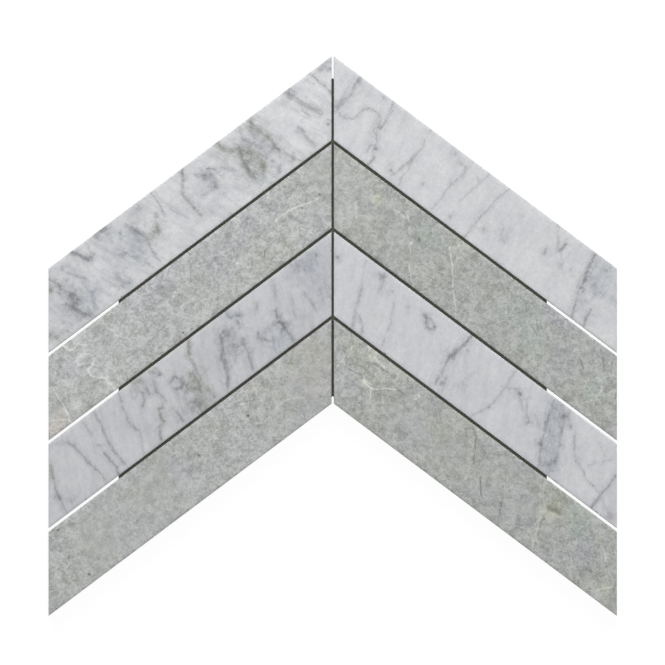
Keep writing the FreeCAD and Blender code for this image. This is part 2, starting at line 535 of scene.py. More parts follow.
def white_marble(name, facts, seed, spine_tone, outer_tone, depth, lean, marks):
    """White marble of one strip: a cloudy ground between two tones, faint smudges, then its own veins."""
    material, shader, start = new_finish(name)
    place = strip_place(start, facts)
    stock = stock_place(place, seed)
    clouds = stock.noise(0.09, 3.0, 0.6)
    cool = stock.noise(0.11, 3.0, 0.6, "Color").part(1)
    grain = stock.noise(0.35, 5.0, 0.9)
    crystals = stock.noise(1.1, 3.0, 0.8)
    smoke = stock.noise(0.4, 5.0, 0.75)
    ground = (place.part(0) / FADE_LENGTH).between(paint(*spine_tone), paint(*outer_tone))
    ground = ground.tinted(cool.ranged(0.36, 0.64, 0.0, 0.26), COOL_GREY)
    leaning = start.node("ShaderNodeCombineXYZ", None, {
        0: stock.part(0) - lean * stock.part(1), 1: stock.part(1) * 0.2, 2: stock.part(2) * 0.3,
    })
    smudges = leaning.noise(0.22, 4.0, 0.65).ranged(0.47, 0.7, 0.0, 0.2 * depth)
    feather = leaning.noise(0.8, 3.0, 0.6).ranged(0.34, 0.66, 0.55, 1.4)
    specks = stock.noise(1.4, 1.0).ranged(0.6, 0.72, 1.0, 1.9)
    ground = ground.tinted(clouds.ranged(0.4, 0.68, 0.0, 0.08 * depth) + smudges, SMOKE_GREY)
    ground = ground.tinted(grain.ranged(0.4, 0.64, 0.0, 0.27), GRAIN_GREY)
    ground = ground.tinted(crystals.ranged(0.4, 0.66, 0.0, 0.2), GRAIN_GREY)
    broken = smoke.ranged(0.36, 0.64, 0.4 * depth, 1.1 * depth) * feather * specks
    amounts = mark_amounts(place, marks, WHITE_WANDER, WHITE_SKIRT)
    sawn_finish(shader, stock, stained(ground, WHITE_TINTS, amounts, broken))
    return material


def lay_strip(node, seed, material):
    """One strip, in the place of its CAD node."""
    piece = make_piece(f"{node}_strip", strip_tree, {
        **strip_facts(node), "Seed": float(seed), "Material": material,
    })
    add_piece(piece, node)


# The marks of a strip, by tint: each has its half width and its strength, then the points of its line, or the
# one point of a spot.
WHITE_UPPER_LEFT = {
    "grey": [
        (3, 0.5, (2, 1), (9, 2)), (1.2, 0.8, (4.5, 5)),
        (0.9, 0.5, (15, 0), (14, 4), (13.5, 8), (12, 12), (12, 16)), (0.8, 0.2, (19, 1), (17, 6)),
        (2.4, 0.45, (31, 0), (30.5, 3), (29, 7), (27, 12), (25, 16), (22.5, 21)), (2, 0.6, (30, 2.5)),
        (2, 0.2, (27, 14)), (3, 0.3, (28, 2)), (1.4, 0.3, (30, 14), (28, 19)),
        (1.7, 0.45, (37, 20), (36, 24), (37, 28), (36, 33)), (1.4, 0.8, (53, 20), (52.3, 23)),
        (1, 0.6, (49, 31)), (2.2, 0.4, (83, 12), (79, 17)), (1.2, 0.45, (86, 12), (88, 9), (90, 8)),
        (2.2, 1.4, (92.5, 10.5)), (1.6, 0.9, (91.5, 18)), (1.4, 0.55, (96, 7)), (1.4, 0.5, (99.5, 18)),
        (1.4, 0.25, (90, 24)), (0.9, 0.5, (121, 0), (121, 5), (121.5, 10), (122.5, 15)),
        (1, 0.2, (118, 14), (113, 24)), (4, 0.4, (132, 3)),
        (1.4, 0.4, (142, 6), (140.5, 10), (138.7, 14), (138, 20), (139, 26), (139, 32)),
        (1.8, 0.6, (140, 11), (138.7, 15)), (1.4, 0.55, (147, 8)), (3, 0.9, (153, 0.5), (158, 0.8)),
        (1, 0.25, (148, 22), (144, 33)), (0.9, 0.2, (154, 13), (150, 21), (147, 29)),
        (0.8, 0.6, (69, 9), (70.5, 13), (71, 18), (72.5, 23)), (1.6, 0.4, (107, 21)), (1.6, 0.4, (101, 2)),
        (1.2, 0.4, (167.5, 9.5)), (2.4, 0.45, (162, 24), (162, 30)), (2.4, 0.15, (169, 22), (166, 30)),
        (1.7, 1.3, (174, 0), (172, 3), (171, 6), (169.5, 9)), (1.5, 0.15, (165, 2), (166, 8), (167, 11)),
        (1.6, 0.5, (183, 4)), (1.8, 0.4, (182, 8), (177, 16)), (1.7, 0.7, (192, 5), (190, 10), (190, 13)),
        (3.6, 1.2, (187.3, 20)), (2.8, 0.45, (186, 23), (192, 25)), (7, 0.25, (189, 13), (188, 22)),
        (1.7, 1.3, (191, 24), (190, 28), (187, 33)), (1.7, 0.3, (195, 20), (191, 23)),
        (1.8, 0.3, (200, 28)), (1.8, 0.8, (201, 33)),
    ],
    "olive": [
        (1.6, 0.9, (23.5, 28)), (1.2, 0.4, (22, 26)), (3, 0.6, (55, 2), (57, 5)),
        (1.2, 0.6, (54, 0), (57, 4)), (1.5, 1, (55, 8), (53.5, 13), (53, 18), (52.5, 22)),
        (1.4, 0.25, (52, 25), (50, 29), (48, 33), (46, 36)), (1.6, 0.7, (50.5, 28.5)), (1.6, 0.4, (49, 32)),
        (2.4, 0.8, (77.5, 0), (76.5, 4), (73, 8), (70, 10), (71, 14), (72, 17), (72, 21), (73, 24), (72, 27)),
        (2.6, 0.6, (68, 10), (66, 13), (64, 17), (63, 20), (64, 25)), (2.2, 0.8, (64.5, 25.5)),
        (9, 0.35, (66, 14), (69, 23)), (1.4, 0.2, (60, 23), (66, 24)),
        (1.7, 0.55, (99, 0), (101, 2), (104, 6), (107, 10), (108, 13), (107.5, 18), (107, 22), (107, 26)),
        (1.3, 0.45, (125, 11), (128, 14), (130, 19)), (3, 0.7, (130, 19)),
        (2.8, 0.35, (130, 18), (137, 19)), (2.4, 0.9, (195, 10)), (2, 0.9, (210, 29)), (2, 0.7, (207, 32)),
    ],
    "blue": [
        (1.4, 0.35, (63, 2), (65, 7), (61, 14)), (7, 0.3, (69, 30)), (2.4, 0.6, (58, 30), (60, 33)),
        (2.4, 0.3, (56, 18)), (9, 0.4, (143, 12), (145, 22)), (5, 0.15, (152, 4), (155, 6)),
        (2, 0.9, (158.5, 32)), (2.4, 0.7, (178, 24), (182, 32)),
    ],
    "violet": [
        (8, 0.35, (58, 10), (59, 18)), (2.2, 0.9, (68.5, 18.5)), (2.2, 0.7, (90, 13), (91, 19)),
        (3.4, 0.8, (153, 18)), (8, 0.15, (100, 28)), (8, 0.12, (116, 28)), (8, 0.2, (200, 22)),
        (6, 0.15, (175, 25)), (6, 0.3, (91, 11), (92, 17)),
    ],
    "white": [
        (2, 0.25, (126, 22), (122, 25)),
    ],
}
WHITE_UPPER_RIGHT = {
    "grey": [
        (1.8, 0.6, (18.5, 0), (18.5, 5), (19.5, 9), (19, 13), (18, 17), (18, 21)), (2.2, 0.6, (18.7, 3)),
        (2.2, 0.55, (18, 20)),
        (1.1, 0.55, (19, 22), (22, 23.3), (25, 22.5), (28.5, 20.5), (29, 17), (30, 13.5), (31.5, 11.5)),
        (1.1, 0.55, (31.5, 11.5), (34, 10.5), (37, 9.8), (39, 11), (40.5, 14)),
        (1.1, 0.7, (40.5, 0), (41.5, 4), (42.5, 8), (43, 12), (43, 16)), (2.4, 1.1, (42, 15.5)),
        (1.2, 0.8, (43, 19), (45, 22)), (1.2, 0.5, (40.5, 18), (42, 20)), (1.2, 0.6, (44.5, 26), (45, 31)),
        (1.3, 2.4, (47.8, 26.3)), (1.2, 0.9, (50, 30), (49.5, 35)), (1.4, 0.8, (34.5, 1.5)),
        (1.4, 0.5, (65, 1)),
        (1.1, 0.45, (66, 7), (67, 10), (67, 14), (66.5, 17), (66, 21), (64.5, 26), (63, 33)),
        (1.2, 0.5, (66.5, 17), (68, 24), (68, 30), (69, 34)), (1.6, 0.35, (65.5, 21.5)),
        (1.6, 0.8, (61, 30.5)), (1.4, 0.4, (58.5, 28)), (1.4, 0.6, (79, 26)), (1.4, 0.6, (83.5, 3)),
        (1.2, 0.45, (88, 5), (92, 5), (93, 8), (92, 13), (91.5, 17), (91, 22), (91.5, 27), (91, 34)),
        (1.8, 0.4, (91.3, 16.5)), (1.8, 0.2, (92.8, 10)), (1.2, 0.2, (93.5, 0), (93, 9)),
        (1.1, 0.35, (104, 1), (104, 4), (102, 12), (101, 18), (100.5, 22)), (1.2, 0.3, (100, 6), (102, 7)),
        (1.4, 1, (101, 31.5)),
        (1.1, 0.55, (117.5, 0), (116.5, 5), (115, 9), (115, 14), (114.5, 20), (114, 28), (114, 35)),
        (1.5, 1.7, (119.3, 26)), (1.6, 0.4, (128, 19), (129, 23), (132, 25)), (1.6, 0.4, (133, 22)),
        (1.2, 0.6, (149, 0), (151, 1)), (1.2, 0.4, (152, 3), (155, 7), (158, 12)),
        (1.4, 1.2, (159.5, 6), (159, 10)), (1.4, 0.85, (153, 14), (153.5, 17)), (2, 0.3, (170, 15.5)),
        (1.2, 1.3, (175.5, 1), (176.5, 5), (177, 9), (178, 13), (179, 15)), (2.4, 1.5, (179, 15)),
        (2.2, 0.6, (175.5, 2)), (1.2, 1.4, (180, 20), (181, 19), (182, 21)),
        (1.2, 0.9, (180.5, 23), (182, 28), (184, 32), (185.5, 35)), (1.6, 1, (185, 4)),
        (1.6, 0.2, (188, 7)), (1.4, 0.85, (191, 26), (191.5, 31), (193, 34.5)), (1.4, 1, (186, 24)),
    ],
    "violet": [
        (5, 0.3, (19, 12), (19, 19)), (3, 0.3, (132, 8)), (3, 0.7, (164, 16)),
    ],
    "blue": [
        (5, 0.1, (38, 3), (41, 7)), (8, 0.12, (127, 17), (133, 21)), (11, 0.45, (182, 4), (187, 13)),
        (3.5, 0.4, (180, 11), (184, 14), (188, 17), (193, 15), (199, 15)), (7, 0.25, (187, 28)),
    ],
}
WHITE_LOWER_LEFT = {
    "blue": [
        (7, 0.4, (17, 5), (21, 9)), (7, 0.4, (55, 30), (60, 32)), (1.6, 1, (71, 0), (71, 4), (67, 6)),
        (1.8, 0.6, (114, 22)), (1.8, 0.6, (116, 25)), (1.6, 0.7, (113, 29), (113, 35)), (4, 0.3, (184, 3)),
    ],
    "grey": [
        (1.6, 0.7, (14, 5)), (1.4, 0.4, (31.5, 18), (31, 23), (32, 28)),
        (1.7, 0.25, (41, 2), (43, 6), (45, 11)), (1.4, 0.45, (55, 7), (57, 9)),
        (1.4, 0.3, (38, 16), (42, 22), (43, 26)), (1.6, 0.9, (49, 16), (50.5, 19)),
        (1.7, 2, (50.7, 22), (50.7, 26)), (1.4, 0.8, (51, 28), (51, 34)), (1.4, 0.15, (50, 23), (46, 29)),
        (1.7, 0.5, (64, 20), (65, 22), (62, 26), (60, 28)), (1.6, 0.9, (66.5, 6)), (1.6, 0.9, (69, 9)),
        (1.6, 0.2, (72, 9), (75, 10)), (1.4, 0.7, (72.5, 17), (74, 22), (75, 27), (77, 33)),
        (1.5, 1, (78, 8), (81, 9), (83, 14), (87, 18), (88, 22), (89, 26), (91, 29), (94, 33)),
        (2.4, 0.6, (77, 11)), (3.5, 0.7, (78, 18)), (2.4, 0.1, (80, 22)), (1.4, 0.35, (76, 8), (77, 12)),
        (1.8, 0.5, (113, 29)), (1.3, 0.9, (112, 17), (112, 14), (113.5, 11.5), (116.5, 13)),
        (1.3, 0.9, (112, 17), (114, 19), (117, 17)), (1.6, 1.2, (121, 3.5)), (1.2, 0.9, (119.5, 6)),
        (1.4, 0.5, (124, 7), (126, 12), (125, 16), (125, 19)), (1.4, 0.7, (124, 27), (124, 33)),
        (1.4, 0.7, (129.5, 8), (130, 11)), (1.1, 0.6, (132.5, 8), (134, 12), (136.5, 14.5)),
        (1, 0.3, (133, 1), (133, 7)), (1.4, 0.3, (137, 4), (138, 8)), (1.4, 0.5, (143, 1), (144, 5)),
        (1.2, 0.6, (145.5, 8), (146, 12), (148, 16), (147.5, 19), (146.5, 22)),
        (1.2, 0.3, (146, 23), (147, 26), (150, 32), (151, 35)),
        (1.4, 0.5, (160, 1), (160, 7), (161.5, 12), (162.5, 17), (163, 22), (163, 27), (162.5, 33)),
        (1.4, 0.3, (167.5, 2), (167.5, 10)), (1.6, 0.65, (168, 16.5)),
        (1.2, 0.85, (168, 22), (168, 28), (167.5, 32), (168.5, 35)),
        (1.2, 0.6, (180.5, 5), (179, 9), (178.5, 13), (178, 18), (177.5, 23), (176.5, 28), (176.5, 33)),
        (1.2, 0.4, (199, 19), (201, 24), (202, 27)), (2.4, 0.9, (201.8, 26.3)),
        (1.2, 0.35, (202.5, 30), (203, 35)), (6, 0.1, (38, 28)), (6, 0.3, (118, 30)), (6, 0.12, (140, 25)),
    ],
    "violet": [
        (5, 0.9, (25, 4)), (1.6, 0.25, (20, 20), (22, 28)), (6, 0.3, (23, 22), (27, 27)),
        (4.5, 0.3, (58, 21), (64, 22)), (8, 0.35, (79, 12), (83, 21)), (4, 0.3, (196, 31)),
        (7, 0.15, (20, 16)),
    ],
    "olive": [
        (1.4, 1.1, (96.5, 1), (98, 4), (100, 7)), (1.4, 0.35, (101, 9), (101.5, 15), (103, 18)),
        (9, 0.35, (105, 20), (108, 31)), (1.6, 0.7, (106, 16), (104, 20), (105, 22), (107, 25), (110, 22)),
        (1.6, 0.4, (103, 27), (103, 33)), (3, 1.2, (111, 32)), (1.6, 0.9, (109.5, 21.5)),
        (1.6, 0.9, (107, 20)), (1.6, 0.6, (107.5, 25)), (3.6, 0.8, (130, 2)),
        (1.5, 0.9, (129, 21), (130.5, 20), (132, 24), (132.5, 27)),
        (1.5, 0.7, (136, 29), (138, 31), (139.5, 34)), (2, 0.75, (195, 11), (198, 16)),
    ],
}
WHITE_LOWER_RIGHT = {
    "grey": [
        (1.7, 1.6, (9.7, 10)), (1.1, 0.25, (23, 2), (25, 6), (28, 12), (30, 15.5)),
        (1.1, 0.8, (30, 15.5), (31.5, 19), (33, 23), (34.5, 27), (36.5, 30.5), (38.5, 34)),
        (1.4, 0.95, (33.5, 3.5)), (1.4, 0.95, (35, 1.5)), (1.4, 0.95, (36, 3)), (1.6, 0.5, (44.5, 7)),
        (1, 0.5, (48.5, 11), (50, 14), (52, 18), (53.5, 21), (55, 25)), (1.1, 0.7, (56, 29), (57.5, 33)),
        (1.4, 0.6, (38, 28), (42, 31), (44, 34)), (1.4, 1.2, (66, 6.3), (67.5, 7.5), (68.5, 9)),
        (1.1, 0.9, (68.5, 9), (70, 10.4), (72.5, 10.7)), (1.3, 1.1, (72.5, 10.6), (74, 9.6), (73.6, 8)),
        (0.9, 0.7, (73.6, 8), (71.5, 6.8), (69, 6.1)), (1.7, 1.3, (67.3, 7.2)), (1.5, 0.5, (56, 8.5)),
        (1.6, 1.4, (92.5, 0), (92, 4), (91.5, 8), (91, 11), (90, 15)), (3, 0.8, (90, 16)),
        (1.4, 0.85, (90, 15), (89.5, 18), (90.5, 22), (91.5, 26), (91.5, 32)), (2.4, 0.8, (95, 30)),
        (1.4, 0.4, (95, 27), (97, 33)), (1, 0.2, (95, 8), (98, 15)),
        (1, 0.6, (122, 0), (122.5, 3), (122.5, 7), (123.5, 10), (123, 14), (123, 19), (122.5, 25)),
        (1, 0.5, (122.5, 25), (120.5, 29), (119, 32), (118, 35)),
        (1.2, 0.5, (124, 11), (128, 9), (131.5, 10)), (2, 1.7, (131.5, 10)),
        (1.2, 0.4, (134, 12), (137, 15), (138, 16)),
        (1, 0.55, (136, 10), (139, 13), (141, 16), (144.5, 19)), (1.8, 0.95, (144, 19)),
        (1.4, 0.4, (145, 14), (149, 17)),
        (1.4, 0.7, (148, 2), (150, 7), (151.5, 12), (153.5, 16), (155, 20), (157, 25), (160, 30), (163, 34)),
        (1.6, 0.65, (155, 3), (158, 6), (160, 9), (162, 14), (165, 19), (168, 27), (170, 32)),
        (2.6, 1.6, (157.5, 5.3)), (2, 1.2, (156.5, 25)), (2.4, 0.9, (166, 31), (168, 28)),
        (1.4, 0.6, (156.5, 16), (158, 18), (160, 16.5)), (1.6, 0.9, (163.5, 7)),
        (1.1, 0.55, (168, 10), (171, 14), (174, 17.5), (177, 20), (180, 21.5),
         (184, 23), (188, 25), (192, 25.5)),
        (1.1, 0.3, (192, 25.5), (197, 27), (206, 31)),
        (1.1, 1.1, (199, 14), (198.7, 20), (198.5, 27), (198.3, 35)), (1.2, 0.3, (186, 15), (184, 19)),
        (1.2, 0.3, (192, 8), (189, 12)), (1.2, 0.25, (181, 5), (188, 9)),
    ],
    "violet": [
        (2.4, 0.7, (36, 5), (38, 9)), (6, 0.4, (104, 25)), (2, 0.3, (106, 14), (104, 20)),
        (3, 1.5, (209.5, 33)),
    ],
    "blue": [
        (7, 0.65, (152, 2), (155, 9), (159, 18), (164, 28), (167, 35)), (2.4, 0.9, (151, 10), (153, 15)),
    ],
}
# Each strip: its node, its tone at the spine and at its outer end, how strong and how slanted its smudges
# are, and its marks.
WHITE_STRIPS = [
    ("white_marble_upper_left", (225, 226, 227), (213, 214, 215), 1.7, -0.4, WHITE_UPPER_LEFT),
    ("white_marble_upper_right", (216, 217, 218), (214, 215, 216), 1.05, 0.1, WHITE_UPPER_RIGHT),
    ("white_marble_lower_left", (202, 203, 205), (201, 202, 204), 1.65, 0.4, WHITE_LOWER_LEFT),
    ("white_marble_lower_right", (208, 209, 211), (208, 209, 211), 1.05, 0.45, WHITE_LOWER_RIGHT),
]
for seed, (node, spine_tone, outer_tone, depth, lean, marks) in enumerate(WHITE_STRIPS):
    stone = white_marble(node, strip_facts(node), seed, spine_tone, outer_tone, depth, lean, marks)
    lay_strip(node, seed, stone)


# GREEN MARBLE STRIPS
# Pale grey-green marble with a granular, cloudy ground, light veinlets and ochre stains. Its small pits are
# drawn as dark specks of painted shade on a flat face. It is sawn and honed as the white is, and makes the
# second and fourth courses.

GREEN_CASTS = {
    "teal": paint(140, 164, 153),
    "violet": paint(157, 156, 174),
    "beige": paint(202, 183, 158),
    "olive": paint(146, 153, 120),
}
GREEN_TINTS = {
    "yellow": paint(202, 204, 186),
    "ochre": paint(114, 111, 92),
    "dark": paint(104, 106, 102),
    "light": paint(214, 217, 213),
    # Painted shade: the dark inside small pits of the face, laid as colour on a face that stays flat.
    "pit_shade": paint(58, 58, 54),
}
GREEN_WANDER, GREEN_SKIRT = 0.4, 0.06
CAST_DEPTH = 2.2
DARKER, LIGHTER = (-42, -41, -43), (34, 34, 34)
CELLS = ((0.2, 0.34), (0.45, 0.3), (0.9, 0.34))
CRYSTALS = 0.36
SEAM_SCALE, SEAM_WIDTH = 0.2, 0.06


def shifted(tone, steps):
    """A tone moved by a step in red, green and blue."""
    return paint(*(value + step for value, step in zip(tone, steps)))


def green_marble(name, facts, seed, tone, spread, marks):
    """Green marble of one strip: broad casts of colour, small crisp cells and seams, then its marks."""
    material, shader, start = new_finish(name)
    place = strip_place(start, facts)
    stock = stock_place(place, seed)
    amounts = mark_amounts(place, marks, GREEN_WANDER, GREEN_SKIRT)
    smoke = stock.noise(0.36, 3.0, 0.6)
    broken = smoke.ranged(0.38, 0.62, 0.5, 2.3)
    dark_tone, light_tone = shifted(tone, DARKER), shifted(tone, LIGHTER)

    clouds = stock.noise(0.16, 3.0, 0.65)
    drift = stock.noise(0.035, 2.0, 0.5)
    ground = clouds.ranged(0.34, 0.66).between(shifted(tone, [-spread] * 3), shifted(tone, [spread] * 3))
    ground = ground.tinted(drift.ranged(0.5, 0.7, 0.0, 0.35), GREEN_CASTS["violet"])
    ground = ground.tinted(drift.ranged(0.5, 0.3, 0.0, 0.25), GREEN_CASTS["olive"])
    ground = stained(ground, GREEN_CASTS, amounts, CAST_DEPTH)

    patchy = stock.vector("ADD", stock, cloudy_shift(stock, 0.3, 3.0, 0.7, 0.9))
    lively = amounts["calm"].ranged(0.0, 1.0, 1.15, 0.45)
    for scale, share in CELLS:
        cell = patchy.node("ShaderNodeTexVoronoi", None, {"Vector": patchy, "Scale": scale}, "Color").part(0)
        ground = ground.tinted(cell.ranged(0.5, 0.0, 0.0, share) * lively, dark_tone)
        ground = ground.tinted(cell.ranged(0.5, 1.0, 0.0, share) * lively, light_tone)
    crystals = stock.noise(1.1, 3.0, 0.8)
    ground = ground.tinted(crystals.ranged(0.5, 0.66, 0.0, CRYSTALS) * lively, dark_tone)
    ground = ground.tinted(crystals.ranged(0.5, 0.34, 0.0, CRYSTALS) * lively, light_tone)

    edges, sockets = {"feature": "DISTANCE_TO_EDGE"}, {"Vector": patchy, "Scale": SEAM_SCALE}
    seam = patchy.node("ShaderNodeTexVoronoi", edges, sockets, "Distance")
    zone = stock.noise(0.05, 2.0).ranged(0.42, 0.6, 0.15, 1.0)
    seam = seam.ranged(0.0, SEAM_WIDTH, 0.75, 0.0) * smoke.ranged(0.4, 0.6) * zone
    ground = ground.tinted(seam, light_tone)
    sawn_finish(shader, stock, stained(ground, GREEN_TINTS, amounts, broken))
    return material


# Marks as on the white strips. Calm is no tint: it is where the grain of the stone is faint. Pit shade is
# painted shade for small pits in the face, which has no hollows there.
GREEN_UPPER_LEFT = {
    "dark": [
        (26, 0.05, (8, 10), (22, 26)), (20, 0.035, (95, 18), (115, 18)), (1.8, 0.2, (17, 21.3), (27, 20.8)),
        (0.7, 0.5, (61.5, 23.5), (66, 28)), (0.7, 0.7, (27.5, 6.5)), (0.8, 0.7, (51, 9)),
        (1.2, 0.6, (60, 5)), (1.3, 0.5, (62.5, 7.5)), (1.6, 0.4, (68, 18.2)), (1.2, 0.4, (70, 18.5)),
        (1.4, 0.5, (86, 11.5)), (1, 0.5, (84, 10.3)), (0.8, 0.6, (99, 7)), (0.8, 0.5, (95, 9)),
        (0.7, 0.5, (91, 7.5)), (1.4, 0.35, (101, 13.5)), (0.8, 0.4, (81, 18)), (0.7, 0.7, (72, 25)),
        (1.2, 0.4, (72, 33)), (0.7, 0.7, (67, 29)), (1.2, 0.7, (109, 29)), (1.2, 0.7, (118.3, 7.3)),
        (1.2, 0.35, (122.5, 29)), (0.8, 0.5, (188, 1.5)),
        (0.8, 0.3, (157, 12), (159, 15), (161.5, 12.5), (159.5, 10.5)), (4, 0.12, (175, 26.5), (181, 27.5)),
        (0.7, 0.6, (173.5, 26.5), (178, 26)), (0.6, 0.4, (198.6, 17), (199.2, 26)),
        (0.7, 0.6, (191.5, 7.5)),
    ],
    "light": [
        (22, 0.06, (152, 18), (172, 18)),
        (0.8, 0.5, (22, 19), (27, 18.3), (31, 17), (34, 15.8), (38, 15.1), (44, 14.8), (49, 15)),
        (0.7, 0.4, (40, 26.5), (37.5, 31), (35.5, 34)), (0.8, 0.4, (42.5, 0.5), (46, 4)),
        (0.9, 2, (78.5, 20.7)), (0.9, 1.8, (114.3, 13)), (1, 2.4, (116.5, 14.6)), (0.8, 0.6, (94, 3)),
        (0.8, 0.5, (64, 3), (65.5, 0)), (0.5, 0.5, (79, 19), (82.5, 15)), (0.5, 0.4, (94, 19), (97, 22.5)),
        (0.8, 0.45, (154.5, 1), (155, 6), (153.3, 9.5), (153.5, 13), (150.5, 17), (146, 20)),
        (1, 0.7, (179.5, 0), (178.3, 4), (175.5, 5), (172.5, 4.2), (169.5, 7)),
        (0.9, 0.6, (170.5, 12), (174, 10), (178.5, 10.5), (179, 13.5), (176.5, 14.5)),
        (1, 0.8, (170.5, 16), (172.5, 18), (176.5, 18.3), (177, 22), (175, 25), (172, 27.3), (171, 35)),
        (3, 0.25, (171, 8), (176, 12)), (2, 0.3, (171.3, 28), (171, 35)),
        (0.7, 0.7, (197.5, 16), (198, 22), (198.5, 27), (199.3, 31), (201, 35)),
        (6, 0.1, (189, 18), (193, 32)), (0.8, 0.4, (201, 33.5), (206, 30), (210, 27)),
        (0.7, 0.8, (191, 9.5)), (0.7, 0.6, (194.5, 12)),
    ],
    "calm": [
        (14, 0.5, (8, 8), (30, 26)), (10, 0.5, (204, 26)),
    ],
    "pit_shade": [
        (0.8, 1.6, (21, 17.8)), (0.6, 1.4, (33, 18)), (0.7, 1.2, (124, 33)), (0.8, 1.8, (119.3, 34.3)),
    ],
    "olive": [
        (5, 0.25, (12, 10)), (4, 0.2, (12, 3)), (6, 0.15, (51, 26), (54, 31)),
        (5, 0.15, (65, 25), (65, 28)), (8, 0.12, (70, 31), (95, 31)), (8, 0.12, (160, 20), (165, 30)),
    ],
    "yellow": [
        (4, 0.15, (56, 3)),
    ],
    "violet": [
        (8, 0.3, (62, 5), (70, 13)), (7, 0.2, (36, 7), (47, 12)), (9, 0.2, (84, 16), (92, 24)),
        (11, 0.2, (114, 8), (145, 8)), (9, 0.15, (120, 22), (148, 25)), (6, 0.35, (182, 13)),
    ],
    "beige": [
        (7, 0.3, (204, 30), (210, 34)),
    ],
}
GREEN_UPPER_RIGHT = {
    "light": [
        (26, 0.1, (8, 10), (24, 24)), (0.9, 0.6, (35.5, 12.3)), (0.7, 0.5, (46, 9), (50, 8.2), (54, 8.7)),
        (0.8, 0.7, (55, 7.3), (57, 9)), (0.9, 0.4, (59.5, 12)),
        (0.7, 0.55, (82.7, 7), (85.5, 10), (89, 13.3)), (0.7, 0.5, (89, 13.5), (93, 18), (97, 23)),
        (0.7, 0.35, (98, 24), (104, 30.5), (107, 34)), (0.6, 0.3, (64, 18), (68, 22.3)),
        (0.6, 0.35, (70.5, 27), (76.5, 33.5)), (1.2, 2, (64.9, 17.7)), (0.9, 0.4, (64.2, 15.6)),
        (0.7, 0.6, (84.5, 1.5), (86, 3.5)), (0.8, 0.6, (93.5, 33)), (1, 0.9, (187.7, 5)),
        (0.8, 1, (187.5, 15.3)), (0.6, 0.4, (125, 13.5), (128, 17)),
        (0.7, 0.3, (190, 15), (193, 18.5), (193.5, 23), (192, 28), (190, 29.5)),
        (0.6, 0.3, (183.5, 21), (188, 28)), (0.6, 0.3, (30, 20), (33.5, 24.5)),
    ],
    "dark": [
        (24, 0.045, (66, 16), (92, 20)), (0.8, 0.6, (55.3, 9.8)), (0.8, 0.5, (60, 9.3)),
        (0.5, 0.5, (90, 14.8), (96, 21)), (1.6, 1, (67.2, 13.4)), (0.9, 0.6, (84.5, 4)),
        (0.8, 0.7, (94, 31.3)), (1, 0.5, (105.5, 27)), (0.7, 0.5, (133.5, 6.8), (136, 9.8)),
        (0.7, 0.5, (143, 10), (147, 14.5)), (0.6, 0.4, (126.5, 13.3), (129, 16)),
        (0.7, 0.6, (184, 5.5), (187.5, 9.5)), (0.7, 0.6, (188.5, 3.5), (190.5, 6.5)),
        (1.1, 0.5, (175, 13.5), (178.5, 16)), (1, 0.5, (177.5, 17.5), (180, 19)), (0.8, 0.6, (190.5, 8)),
        (0.9, 0.6, (195, 19.5)), (0.8, 0.6, (191.5, 31.5)),
    ],
    "calm": [
        (20, 0.5, (25, 18), (60, 22)), (20, 0.4, (120, 22), (165, 20)),
    ],
    "yellow": [
        (2.8, 0.7, (35.5, 8.5), (37.5, 10.5)), (2.2, 0.6, (84.8, 2.5)),
    ],
    "olive": [
        (4.5, 0.5, (36.5, 9.5)),
    ],
    "ochre": [
        (1.8, 0.35, (37.3, 8.8)),
    ],
    "teal": [
        (8, 0.25, (66, 7), (73, 9)), (13, 0.2, (133, 13), (148, 19)), (6, 0.3, (189, 20), (190, 25)),
    ],
    "violet": [
        (12, 0.25, (163, 16), (171, 26)), (7, 0.3, (145, 3), (157, 4)),
    ],
}
GREEN_LOWER_LEFT = {
    "dark": [
        (30, 0.06, (10, 14), (45, 20)), (1, 0.6, (187, 0.8)), (1.2, 1.4, (196, 29)),
        (1.3, 0.6, (29.5, 29.5)), (1.6, 0.3, (80, 34)), (1.8, 0.35, (63, 6.5)), (1.8, 0.35, (65, 22.5)),
        (1.6, 0.3, (143, 23), (149, 24)), (2, 0.2, (101, 10), (105, 13)), (1.6, 0.25, (103, 20)),
        (1.4, 0.25, (170, 7), (174, 6), (177, 4), (180, 3), (184, 2)), (1.6, 0.35, (111, 7.5)),
        (1.4, 0.2, (116, 13)), (1.8, 0.25, (154, 14)), (0.8, 0.6, (91, 22.5)), (0.9, 0.7, (42, 33)),
        (0.9, 0.7, (130, 0.8)),
    ],
    "calm": [
        (22, 0.8, (5, 12), (38, 24)), (28, 0.9, (125, 14), (172, 20)),
    ],
    "beige": [
        (16, 0.07, (20, 9), (29, 20)), (4, 0.25, (55, 5)),
    ],
    "olive": [
        (9, 0.1, (32, 6), (38, 11)), (1.8, 0.8, (136.8, 10.8)), (2.4, 0.5, (48, 17)), (2.8, 0.3, (47, 26)),
        (1.6, 0.7, (32, 5.5)), (1.6, 0.4, (30, 11.5)), (2.2, 0.4, (80, 11), (87, 11)),
        (5, 0.2, (196.5, 28.5)), (2.4, 0.4, (169.5, 31)),
    ],
    "violet": [
        (13, 0.15, (74, 25), (102, 27)), (9, 0.12, (114, 10), (116, 26)),
    ],
    "pit_shade": [
        (0.9, 1.3, (66.8, 14)), (0.8, 2, (100.5, 15.7)), (0.8, 0.5, (136.8, 11)), (0.8, 2.2, (189, 17.5)),
        (1.2, 1.2, (184.5, 2.2)), (1, 0.7, (185.5, 31.5)),
    ],
    "light": [
        (0.7, 0.7, (64, 8.5), (66.5, 7)), (0.7, 0.3, (58, 22), (63, 22), (66, 20)),
        (0.7, 0.25, (37, 25), (41, 21.5), (46, 19.5), (52, 20)),
    ],
    "ochre": [
        (2.4, 0.25, (186, 22)),
    ],
}
